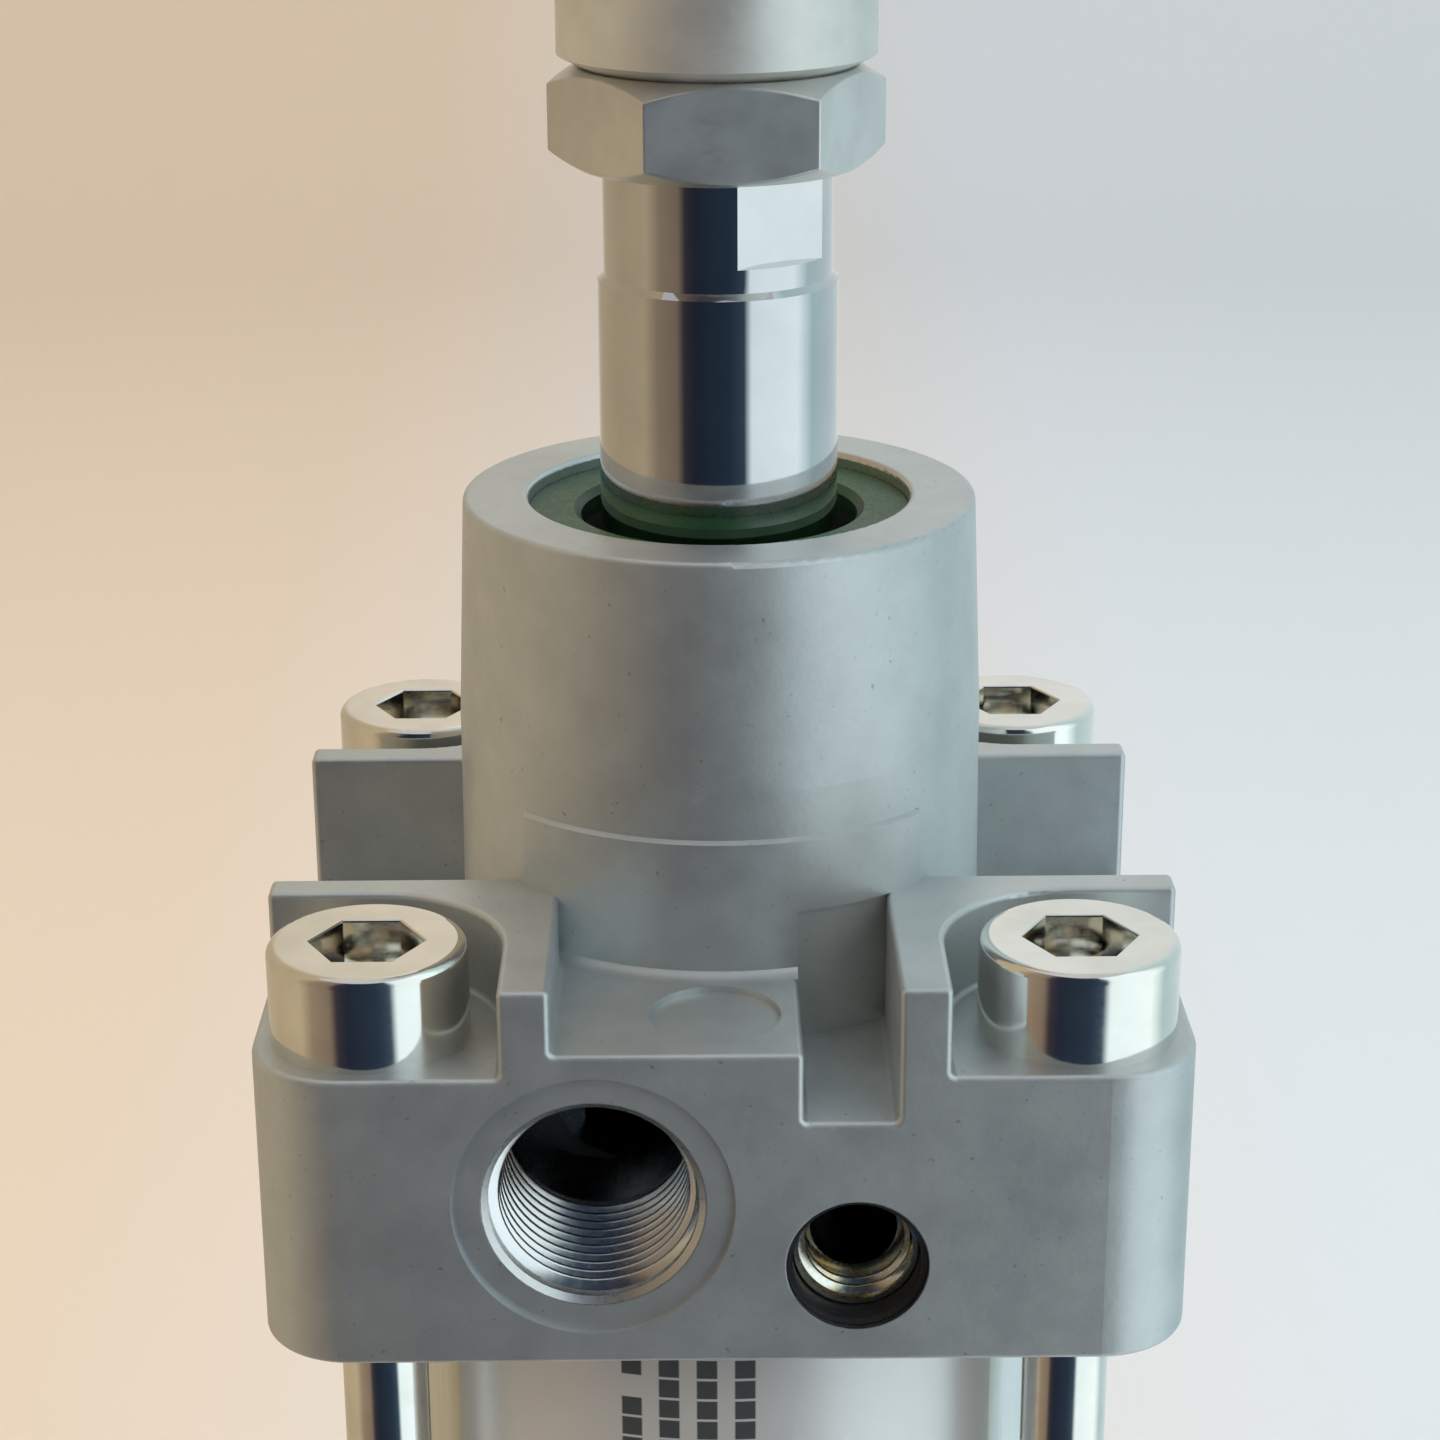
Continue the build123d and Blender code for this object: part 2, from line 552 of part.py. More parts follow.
def make_needle():
    """Cushion needle screw: socketed head, ring groove, thread and conical point."""
    face = -SQUARE / 2
    x, z = NEEDLE_X, NEEDLE_Z
    head_front = face + NEEDLE_HEAD_INSET
    head_back = head_front + NEEDLE_HEAD_LENGTH
    shank_back = face + NEEDLE_THREAD_HOLE_DEPTH - NEEDLE_TRAVEL_IN - NEEDLE_SHOULDER_GAP
    cone_back = shank_back + NEEDLE_CONE_LENGTH
    body = bar_y(NEEDLE_HEAD_RADIUS, head_front + NEEDLE_EDGE, head_back, x, z)
    edge_radius = NEEDLE_HEAD_RADIUS - NEEDLE_EDGE
    body += cone_y(edge_radius, NEEDLE_HEAD_RADIUS, head_front, head_front + NEEDLE_EDGE, x, z)
    body += bar_y(NEEDLE_THREAD_RADIUS, head_back, shank_back, x, z)
    body += cone_y(NEEDLE_CONE_RADIUS, NEEDLE_POINT_RADIUS, shank_back, cone_back, x, z)
    groove_front = head_back - NEEDLE_GROOVE_INSET - NEEDLE_GROOVE_LENGTH
    groove_back = head_back - NEEDLE_GROOVE_INSET
    wide = NEEDLE_HEAD_RADIUS + 1
    body -= tube_y(wide, NEEDLE_GROOVE_RADIUS, groove_front, groove_back, x, z)
    return body - needle_socket(head_front)


def needle_socket(head_front):
    """Cup, round socket and key hexagon cut into a needle's head."""
    x, z = NEEDLE_X, NEEDLE_Z
    cup_end = head_front + NEEDLE_CUP_DEPTH
    socket_end = cup_end + NEEDLE_SOCKET_DEPTH
    cut = bar_y(NEEDLE_CUP_RADIUS, head_front - 1, cup_end, x, z)
    cut += bar_y(NEEDLE_SOCKET_RADIUS, cup_end, socket_end, x, z)
    key = extrude(RegularPolygon(NEEDLE_KEY_AF / 2, 6, major_radius=False), NEEDLE_KEY_DEPTH)
    return cut + Pos(x, socket_end, z) * Rot(-90, 0, 0) * key


def make_needle_ring():
    """Ring in the needle head's groove."""
    head_back = -SQUARE / 2 + NEEDLE_HEAD_INSET + NEEDLE_HEAD_LENGTH
    middle = head_back - NEEDLE_GROOVE_INSET - NEEDLE_GROOVE_LENGTH / 2
    centre_radius = NEEDLE_BORE_RADIUS - RUNNING - NEEDLE_RING_SECTION
    place = Pos(NEEDLE_X, middle, NEEDLE_Z) * Rot(90, 0, 0)
    return place * Torus(centre_radius, NEEDLE_RING_SECTION)


def make_needle_retainer():
    """Black bush at the mouth of the needle's hole."""
    front = -SQUARE / 2 + RETAINER_INSET
    back = -SQUARE / 2 + NEEDLE_HOLE_DEPTH - ASSEMBLY
    outer = NEEDLE_HOLE_RADIUS - ASSEMBLY
    return tube_y(outer, NEEDLE_BORE_RADIUS, front, back, NEEDLE_X, NEEDLE_Z)


# ---- piston rod and piston -------------------------------------------------------------


def make_piston_rod():
    """Chromed rod: stub through the piston, wrench flats and the clevis thread."""
    piston_top = PISTON_BOTTOM + PISTON_LENGTH
    stub_end = PISTON_BOTTOM - SLEEVE_FLANGE - PISTON_NUT_LENGTH - STUB_BEYOND_NUT
    thread_end = ROD_SHOULDER + ROD_THREAD_LENGTH
    step, edge, chamfer = ROD_RADIUS - ROD_TIP_RADIUS, ROD_EDGE, ROD_THREAD_CHAMFER
    rod = turned([
        (0, stub_end), (STUB_RADIUS - STUB_CHAMFER, stub_end),
        (STUB_RADIUS, stub_end + STUB_CHAMFER), (STUB_RADIUS, piston_top),
        (ROD_RADIUS, piston_top), (ROD_RADIUS, ROD_STEP - step), (ROD_TIP_RADIUS, ROD_STEP),
        (ROD_TIP_RADIUS, ROD_SHOULDER - edge), (ROD_TIP_RADIUS - edge, ROD_SHOULDER),
        (ROD_THREAD_RADIUS, ROD_SHOULDER), (ROD_THREAD_RADIUS, thread_end - chamfer),
        (ROD_THREAD_RADIUS - chamfer, thread_end), (0, thread_end),
    ])
    flat, far = ROD_FLATS_AF / 2, 2 * ROD_RADIUS
    low, high = ROD_SHOULDER - ROD_FLATS_LENGTH, ROD_SHOULDER
    for side in (0, 180):
        rod -= Rot(0, 0, ROD_FLATS_ANGLE + side) * block(-far, far, -far, -flat, low, high)
    return rod


def piston_profile(top):
    """Outline of half a piston from its outer end (z = 0) up to the magnet (top)."""
    guide_start = PISTON_LENGTH / 2 - GUIDE_LENGTH / 2
    groove_end = SEAL_GROOVE_INSET + SEAL_GROOVE_LENGTH
    bore = STUB_RADIUS + ASSEMBLY
    return [
        (bore, 0), (PISTON_RADIUS - PISTON_CHAMFER, 0), (PISTON_RADIUS, PISTON_CHAMFER),
        (PISTON_RADIUS, SEAL_GROOVE_INSET),
        (SEAL_GROOVE_RADIUS, SEAL_GROOVE_INSET), (SEAL_GROOVE_RADIUS, groove_end),
        (PISTON_RADIUS, groove_end), (PISTON_RADIUS, guide_start), (LAND_RADIUS, guide_start),
        (LAND_RADIUS, top), (bore, top),
    ]


def make_rear_piston_half():
    """Rear half with the hub that centres the magnet."""
    joint = (PISTON_LENGTH - MAGNET_LENGTH) / 2
    half = turned(piston_profile(joint))
    half += tube_z(HUB_RADIUS, STUB_RADIUS + ASSEMBLY, joint, joint + MAGNET_LENGTH - ASSEMBLY)
    return Pos(0, 0, PISTON_BOTTOM) * half


def make_front_piston_half():
    """Front half with the groove for the ring on the rod's stub."""
    joint = (PISTON_LENGTH - MAGNET_LENGTH) / 2
    half = turned(piston_profile(joint))
    low, high = (STUB_RING_HEIGHT + side * STUB_RING_GROOVE_WIDTH / 2 for side in (-1, 1))
    half -= bar_z(STUB_RADIUS + STUB_RING_GROOVE_DEPTH, low, high)
    half = mirror(half, about=Plane.XY)
    return Pos(0, 0, PISTON_BOTTOM + PISTON_LENGTH) * half


def make_stub_ring():
    """Ring that seals the piston on the rod's stub."""
    height = PISTON_BOTTOM + PISTON_LENGTH - STUB_RING_HEIGHT
    centre_radius = STUB_RADIUS + ASSEMBLY + STUB_RING_SECTION
    return Pos(0, 0, height) * Torus(centre_radius, STUB_RING_SECTION)


def make_magnet():
    """Position-sensing ring magnet between the piston halves."""
    middle = PISTON_BOTTOM + PISTON_LENGTH / 2
    half = MAGNET_LENGTH / 2 - ASSEMBLY
    return tube_z(LAND_RADIUS - ASSEMBLY, HUB_RADIUS + ASSEMBLY, middle - half, middle + half)


def make_guide_ring():
    """Guide band around the middle of the piston."""
    middle = PISTON_BOTTOM + PISTON_LENGTH / 2
    half = GUIDE_LENGTH / 2 - ASSEMBLY
    outer, inner = BORE / 2 - RUNNING, LAND_RADIUS + RUNNING
    return tube_z(outer, inner, middle - half, middle + half)


def piston_seal():
    """Lip seal in local height from the piston's outer end, lip towards the pressure."""
    low = SEAL_GROOVE_INSET + ASSEMBLY
    high = SEAL_GROOVE_INSET + SEAL_GROOVE_LENGTH - ASSEMBLY
    outer, inner = BORE / 2 - RUNNING, SEAL_GROOVE_RADIUS + RUNNING
    vee = inner + SEAL_LIP_THICKNESS
    return turned([
        (inner, low), (vee, low), (vee + SEAL_VEE_WIDTH / 2, low + SEAL_VEE_DEPTH),
        (vee + SEAL_VEE_WIDTH, low), (outer, low), (outer, low + SEAL_VEE_WIDTH),
        (outer - SEAL_LIP_TAPER, high), (inner, high),
    ])


def make_rear_piston_seal():
    """Seal of the piston's rear side."""
    return Pos(0, 0, PISTON_BOTTOM) * piston_seal()


def make_front_piston_seal():
    """Seal of the piston's front side."""
    return Pos(0, 0, PISTON_BOTTOM + PISTON_LENGTH) * mirror(piston_seal(), about=Plane.XY)


def make_front_sleeve():
    """Cushion sleeve on the rod, in front of the piston."""
    low = PISTON_BOTTOM + PISTON_LENGTH
    top = low + CUSHION_LENGTH
    inner = ROD_RADIUS + ASSEMBLY
    return turned([
        (inner, low), (CUSHION_RADIUS, low), (CUSHION_RADIUS, top - SLEEVE_TAPER_LENGTH),
        (CUSHION_RADIUS - SLEEVE_TAPER, top), (inner, top),
    ])


def make_rear_sleeve():
    """Cushion sleeve behind the piston, a cup clamped by the piston nut."""
    top = PISTON_BOTTOM
    low = top - CUSHION_LENGTH
    flange = top - SLEEVE_FLANGE
    bore = STUB_RADIUS + ASSEMBLY
    return turned([
        (bore, top), (CUSHION_RADIUS, top), (CUSHION_RADIUS, low + SLEEVE_TAPER_LENGTH),
        (CUSHION_RADIUS - SLEEVE_TAPER, low), (SLEEVE_INNER_RADIUS, low),
        (SLEEVE_INNER_RADIUS, flange), (bore, flange),
    ])


def chamfered_hex_nut(across_flats, length, bore):
    """Hexagon nut standing on z = 0, its corners turned down to the flats on both sides."""
    corner = across_flats / 2 / cos(radians(30))
    face = across_flats / 2 * HEX_FACE_SHARE
    drop = (corner - face) * tan(radians(HEX_CHAMFER_ANGLE))
    envelope = turned([
        (0, 0), (face, 0), (corner, drop),
        (corner, length - drop), (face, length), (0, length),
    ])
    nut = hex_bar_z(across_flats, 0, length) & Rot(0, 0, HEX_SEAM_ANGLE) * envelope
    return nut - bar_z(bore, -1, length + 1)


def make_piston_nut():
    """Nut that clamps the rear sleeve and the piston on the stub."""
    low = PISTON_BOTTOM - SLEEVE_FLANGE - PISTON_NUT_LENGTH
    nut = chamfered_hex_nut(PISTON_NUT_AF, PISTON_NUT_LENGTH, STUB_RADIUS + ASSEMBLY)
    return Pos(0, 0, low) * nut


def make_lock_nut():
    """Thin lock nut under the clevis."""
    bore = ROD_THREAD_RADIUS + ASSEMBLY
    nut = chamfered_hex_nut(LOCK_NUT_AF, LOCK_NUT_LENGTH, bore)
    nut = fillet(nut.edges(), LOCK_NUT_EDGE)
    return Pos(0, 0, ROD_SHOULDER) * Rot(0, 0, LOCK_NUT_ANGLE) * nut


def clevis_pin_hole():
    """Pin hole with a chamfer at each outer mouth, along Z through the origin."""
    half, edge = CLEVIS_WIDTH / 2, CLEVIS_EDGE
    hole = bar_z(CLEVIS_PIN_RADIUS, -CLEVIS_WIDTH, CLEVIS_WIDTH)
    hole += cone_z(CLEVIS_PIN_RADIUS, CLEVIS_PIN_RADIUS + edge, half - edge, half)
    return hole + cone_z(CLEVIS_PIN_RADIUS + edge, CLEVIS_PIN_RADIUS, -half, edge - half)


def make_clevis():
    """Fork clevis: round threaded neck, square fork with turned corners, slot and pin hole."""
    turned_envelope = turned([
        (0, 0), (CLEVIS_NECK_RADIUS - CLEVIS_NECK_CHAMFER, 0),
        (CLEVIS_NECK_RADIUS, CLEVIS_NECK_CHAMFER_HEIGHT),
        (CLEVIS_NECK_RADIUS, CLEVIS_CONE_START), (CLEVIS_TURNED_RADIUS, CLEVIS_CONE_END),
        (CLEVIS_TURNED_RADIUS, CLEVIS_LENGTH - CLEVIS_END_CHAMFER),
        (CLEVIS_TURNED_RADIUS - CLEVIS_END_CHAMFER, CLEVIS_LENGTH), (0, CLEVIS_LENGTH),
    ])
    outline = RectangleRounded(CLEVIS_WIDTH, CLEVIS_WIDTH, CLEVIS_CORNER)
    clevis = turned_envelope & extrude(outline, CLEVIS_LENGTH)
    half_slot, far = CLEVIS_SLOT / 2, CLEVIS_WIDTH
    slot_floor = CLEVIS_PIN_HEIGHT - CLEVIS_SLOT_DEPTH
    clevis -= block(-half_slot, half_slot, -far, far, slot_floor, CLEVIS_LENGTH + 1)
    clevis = fillet(clevis.edges().filter_by(Axis.Z), CLEVIS_EDGE)
    clevis -= Pos(0, 0, CLEVIS_PIN_HEIGHT) * Rot(0, 90, 0) * clevis_pin_hole()
    clevis -= bar_z(ROD_THREAD_RADIUS + ASSEMBLY, -1, slot_floor + 1)
    return Pos(0, 0, ROD_SHOULDER + LOCK_NUT_LENGTH) * clevis


def main():
    """Write one STEP file for each piece."""
    os.makedirs("parts", exist_ok=True)
    pieces = {
        "front_head": make_front_head(),
        "rear_cap": make_rear_cap(),
        "barrel_tube": make_barrel(),
        "front_tie_rod_nuts": make_front_nuts(),
        "rear_tie_rod_nuts": make_rear_nuts(),
        "front_barrel_ring": at_front(make_barrel_ring()),
        "rear_barrel_ring": at_rear(make_barrel_ring()),
        "data_label": make_label(),
        "rod_bearing": make_rod_bearing(),
        "rod_seal": make_rod_seal(),
        "wiper_holder": make_wiper_holder(),
        "rod_wiper": make_rod_wiper(),
        "front_cushion_seal": at_front(make_cushion_seal()),
        "rear_cushion_seal": at_rear(make_cushion_seal()),
        "front_needle": at_front(make_needle()),
        "rear_needle": at_rear(make_needle()),
        "front_needle_ring": at_front(make_needle_ring()),
        "rear_needle_ring": at_rear(make_needle_ring()),
        "front_needle_retainer": at_front(make_needle_retainer()),
        "rear_needle_retainer": at_rear(make_needle_retainer()),
        "piston_rod": make_piston_rod(),
        "front_piston_half": make_front_piston_half(),
        "rear_piston_half": make_rear_piston_half(),
        "piston_magnet": make_magnet(),
        "piston_guide_ring": make_guide_ring(),
        "front_piston_seal": make_front_piston_seal(),
        "rear_piston_seal": make_rear_piston_seal(),
        "stub_ring": make_stub_ring(),
        "front_cushion_sleeve": make_front_sleeve(),
        "rear_cushion_sleeve": make_rear_sleeve(),
        "piston_nut": make_piston_nut(),
        "rod_lock_nut": make_lock_nut(),
        "rod_clevis": make_clevis(),
    }
    places = ("front_left", "front_right", "back_left", "back_right")
    for place, (x, y) in zip(places, corners()):
        pieces[f"tie_rod_{place}"] = make_tie_rod(x, y)
    for name, solid in pieces.items():
        export_step(solid, f"parts/{name}.step")


main()
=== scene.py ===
import json
import math

import bmesh
import bpy
from mathutils import Matrix, Vector


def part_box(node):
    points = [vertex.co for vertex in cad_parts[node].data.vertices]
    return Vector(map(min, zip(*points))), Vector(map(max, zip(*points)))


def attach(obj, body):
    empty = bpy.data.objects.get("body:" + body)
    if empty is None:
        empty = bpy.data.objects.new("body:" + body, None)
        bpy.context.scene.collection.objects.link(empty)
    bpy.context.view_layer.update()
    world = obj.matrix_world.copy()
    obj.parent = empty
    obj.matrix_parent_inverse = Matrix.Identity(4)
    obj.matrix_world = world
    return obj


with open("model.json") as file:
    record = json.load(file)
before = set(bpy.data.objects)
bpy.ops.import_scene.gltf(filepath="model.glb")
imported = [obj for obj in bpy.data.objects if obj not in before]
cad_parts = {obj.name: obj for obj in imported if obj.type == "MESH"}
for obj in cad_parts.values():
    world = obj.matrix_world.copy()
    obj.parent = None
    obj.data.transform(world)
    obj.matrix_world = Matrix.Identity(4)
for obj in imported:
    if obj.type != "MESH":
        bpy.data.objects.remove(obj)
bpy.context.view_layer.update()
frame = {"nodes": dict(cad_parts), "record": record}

MM = 0.001
MOUNTS = {mount["name"]: mount for mount in frame["record"]["mounts"]}
MOUNT_Z = MOUNTS["front_face"]["pos_m"][2]

# ---- camera: in front of the ports, looking down at the front head
CAMERA_DISTANCE = 256.2 * MM
CAMERA_HEIGHT = MOUNT_Z + 100.2 * MM
CAMERA_PITCH = math.radians(19.65)
CAMERA_YAW = math.radians(0.43)
CAMERA_ROLL = math.radians(0.26)
CAMERA_LENS = 78.37

# ---- studio
FLOOR_RADIUS = 1.1
COVE_RADIUS = 0.5
WALL_HEIGHT = 1.6
TENT_RADIUS = 0.46
TENT_HEIGHT = 1.0
TENT_FOOT_RADIUS = 0.08
TENT_FOOT = 2 * MM
WORLD_STRENGTH = 0.62
LIGHTS = (                        # name, place, size, power, colour
    ("left", (-1.0, -0.5, 1.2), 0.9, 10, (1.0, 0.86, 0.70)),
    ("right", (1.0, -0.5, 1.1), 0.9, 8.5, (0.80, 0.91, 1.0)),
    ("top", (0, 0.3, 1.5), 1.0, 6, (1.0, 1.0, 1.0)),
)
# light seen in reflections, by direction: degrees to the right of the camera's side
TENT_COLOURS = (
    (-180, (0.78, 0.73, 0.64)), (-150, (0.50, 0.41, 0.29)), (-110, (0.48, 0.38, 0.25)),
    (-75, (0.50, 0.41, 0.27)), (-60, (0.30, 0.23, 0.16)), (-40, (0.23, 0.175, 0.13)),
    (-33, (0.040, 0.034, 0.046)), (-22, (0.017, 0.023, 0.040)), (10, (0.022, 0.038, 0.064)),
    (24, (0.042, 0.072, 0.112)), (31, (0.92, 1.08, 1.14)), (80, (1.02, 1.17, 1.22)),
    (100, (0.48, 0.66, 0.70)), (140, (0.62, 0.74, 0.78)), (180, (0.78, 0.78, 0.75)),
)

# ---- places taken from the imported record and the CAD
PORT = MOUNTS["front_port"]
NEEDLE_LOW, NEEDLE_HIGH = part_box("front_needle")
NEEDLE_X = (NEEDLE_LOW.x + NEEDLE_HIGH.x) / 2
FACE_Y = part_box("front_head")[0].y
MIDDLE_Z = MOUNT_Z / 2
PORT_FROM_MIDDLE = PORT["pos_m"][2] - MIDDLE_Z
NEEDLE_FROM_MIDDLE = (NEEDLE_LOW.z + NEEDLE_HIGH.z) / 2 - MIDDLE_Z
BARREL_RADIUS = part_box("barrel_tube")[1].x

# areas of the castings that are machined
PORT_WALL_RADIUS = 8.9 * MM
NEEDLE_HOLE_RADIUS = 5.7 * MM
BORE_RADIUS = 16.3 * MM
MACHINED_DEPTH = 24 * MM          # of the port and the needle's hole, from the head's front
TURNING_PITCH = 0.22 * MM

# painted shade inside the needle's socket: its inside darkens to near black further in
SOCKET_RADIUS = 3.7 * MM
SOCKET_SHADE_START = FACE_Y + 6.6 * MM
SOCKET_SHADE_FULL = FACE_Y + 7.2 * MM

# printed bars of the label
BAR_COLUMN = 3.1 * MM
BAR_ROW = 1.9 * MM
BAR_FIELD_MIDDLE = -3.4 * MM
BAR_FIELD_HALF_WIDTH = 6.2 * MM

# ---- threads: radius of the wall, height of the ridge, pitch
PORT_THREAD = (PORT["dims"]["r_mm"] * MM, 0.80 * MM, 1.337 * MM)
NUT_THREAD = (3.4 * MM, 0.28 * MM, 1.25 * MM)
CLEVIS_THREAD = (8.05 * MM, 0.75 * MM, 1.5 * MM)
NEEDLE_THREAD = (4.6 * MM, 0.62 * MM, 1.2 * MM)
PORT_MOUTH = 1.2 * MM             # plain part before the port's thread
PORT_THREAD_SHORTER = 0.4 * MM
NUT_SOCKET_DEPTH = 4.2 * MM
NUT_THREAD_DEPTH = 12 * MM
CLEVIS_THREAD_GAP = 0.2 * MM      # from the rod's end
CLEVIS_THREAD_DEPTH = 7.4 * MM
NEEDLE_THREAD_INSET = 0.2 * MM
NEEDLE_THREAD_DEPTH = 3.5 * MM


def make_camera():
    """Camera at the photograph's place and angle."""
    data = bpy.data.cameras.new("camera")
    data.lens = CAMERA_LENS
    data.sensor_width = 36.0
    data.clip_start = 0.01
    data.clip_end = 20.0
    camera = bpy.data.objects.new("camera", data)
    bpy.context.scene.collection.objects.link(camera)
    place = Matrix.Translation((0, -CAMERA_DISTANCE, CAMERA_HEIGHT))
    tilt = Matrix.Rotation(math.pi / 2 - CAMERA_PITCH, 4, "X")
    roll = Matrix.Rotation(-CAMERA_ROLL, 4, "Z")
    camera.matrix_world = Matrix.Rotation(-CAMERA_YAW, 4, "Z") @ place @ tilt @ roll
    bpy.context.scene.camera = camera


# ---- node helper -----------------------------------------------------------------------


class Shader:
    """A Principled material and short ways to add texture nodes to it."""

    def __init__(self, name, **values):
        self.material = bpy.data.materials.new(name)
        self.material.use_nodes = True
        self.tree = self.material.node_tree
        self.tree.nodes.clear()
        output = self.add("ShaderNodeOutputMaterial")
        self.bsdf = self.add("ShaderNodeBsdfPrincipled")
        self.link(self.bsdf.outputs["BSDF"], output.inputs["Surface"])
        for socket, value in values.items():
            self.bsdf.inputs[socket.replace("_", " ")].default_value = value
        self.place = self.add("ShaderNodeTexCoord").outputs["Object"]
        self.normal = None

    def add(self, kind, **settings):
        """A new node with its properties set."""
        node = self.tree.nodes.new(kind)
        for key, value in settings.items():
            setattr(node, key, value)
        return node

    def link(self, source, target):
        """Join an output to an input."""
        self.tree.links.new(source, target)

    def stretched(self, stretch):
        """Object coordinates multiplied by a factor on each axis."""
        node = self.add("ShaderNodeVectorMath", operation="MULTIPLY")
        self.link(self.place, node.inputs[0])
        node.inputs[1].default_value = stretch
        return node.outputs[0]

    def noise(self, size, detail=3.0, roughness=0.55, stretch=None):
        """Noise whose features are about size metres across."""
        node = self.add("ShaderNodeTexNoise")
        node.inputs["Scale"].default_value = 1.0 / size
        node.inputs["Detail"].default_value = detail
        node.inputs["Roughness"].default_value = roughness
        self.link(self.stretched(stretch) if stretch else self.place, node.inputs["Vector"])
        return node.outputs["Fac"]

    def spread(self, value, from_low, from_high, low, high):
        """Value mapped from one range to another and clamped."""
        node = self.add("ShaderNodeMapRange")
        self.link(value, node.inputs["Value"])
        for socket, number in zip(("From Min", "From Max", "To Min", "To Max"),
                                  (from_low, from_high, low, high)):
            node.inputs[socket].default_value = number
        return node.outputs["Result"]

    def math(self, operation, a, b=0.0):
        """Arithmetic on two values, each an output or a number."""
        node = self.add("ShaderNodeMath", operation=operation)
        for socket, value in zip(node.inputs, (a, b)):
            if isinstance(value, (int, float)):
                socket.default_value = value
            else:
                self.link(value, socket)
        return node.outputs[0]

    def ramp(self, value, stops):
        """Colours along a value, from (position, (r, g, b)) stops."""
        node = self.add("ShaderNodeValToRGB")
        elements = node.color_ramp.elements
        for _ in range(len(stops) - 2):
            elements.new(0.5)
        for element, (position, colour) in zip(elements, stops):
            element.position = position
            element.color = (*colour, 1.0)
        self.link(value, node.inputs["Fac"])
        return node.outputs["Color"]

    def mix(self, factor, a, b):
        """Two colours mixed by a factor; each colour is an output or a tuple."""
        node = self.add("ShaderNodeMix", data_type="RGBA")
        self.link(factor, node.inputs["Factor"])
        for socket, colour in zip(("A", "B"), (a, b)):
            target = [s for s in node.inputs if s.name == socket and s.type == "RGBA"][0]
            if isinstance(colour, tuple):
                target.default_value = (*colour, 1.0)
            else:
                self.link(colour, target)
        return [s for s in node.outputs if s.type == "RGBA"][0]

    def bump(self, height, depth, strength=1.0):
        """Add a layer of bump, depth metres high."""
        node = self.add("ShaderNodeBump")
        node.inputs["Strength"].default_value = strength
        node.inputs["Distance"].default_value = depth
        self.link(height, node.inputs["Height"])
        if self.normal is not None:
            self.link(self.normal, node.inputs["Normal"])
        self.normal = node.outputs["Normal"]
        self.link(self.normal, self.bsdf.inputs["Normal"])

    def split(self):
        """Object coordinates as three separate outputs."""
        node = self.add("ShaderNodeSeparateXYZ")
        self.link(self.place, node.inputs[0])
        return node.outputs

    def distance(self, a, b):
        """Length of the vector (a, b)."""
        squares = self.math("ADD", self.math("MULTIPLY", a, a), self.math("MULTIPLY", b, b))
        return self.math("SQRT", squares)

    def below(self, value, limit, soft=0.05 * MM):
        """1 where value is below the limit, 0 above it."""
        return self.spread(value, limit - soft, limit + soft, 1.0, 0.0)

    def drive(self, socket, value):
        """Link a texture to one of the shader's inputs."""
        self.link(value, self.bsdf.inputs[socket])


# ---- materials -------------------------------------------------------------------------


def from_axis(s, x, z, axis_x, axis_from_middle):
    """Distance from the two axes along Y that mirror each other about the middle height."""
    height = s.math("ABSOLUTE", s.math("SUBTRACT", z, MIDDLE_Z))
    return s.distance(s.math("SUBTRACT", x, axis_x),
                      s.math("SUBTRACT", height, axis_from_middle))


def bored_areas(s):
    """Mask of the machined areas of both castings, and the distance from the nearest axis."""
    x, y, z = s.split()
    port = from_axis(s, x, z, PORT["pos_m"][0], PORT_FROM_MIDDLE)
    needle = from_axis(s, x, z, NEEDLE_X, NEEDLE_FROM_MIDDLE)
    axis = s.distance(x, y)
    front = s.below(y, FACE_Y + MACHINED_DEPTH)
    port_area = s.math("MULTIPLY", s.below(port, PORT_WALL_RADIUS), front)
    needle_area = s.math("MULTIPLY", s.below(needle, NEEDLE_HOLE_RADIUS), front)
    bore_area = s.below(axis, BORE_RADIUS)
    mask = s.math("MAXIMUM", port_area, s.math("MAXIMUM", needle_area, bore_area))
    rings = s.math("ADD", s.math("MULTIPLY", port_area, port),
                   s.math("MULTIPLY", s.math("SUBTRACT", 1.0, port_area), axis))
    return mask, rings


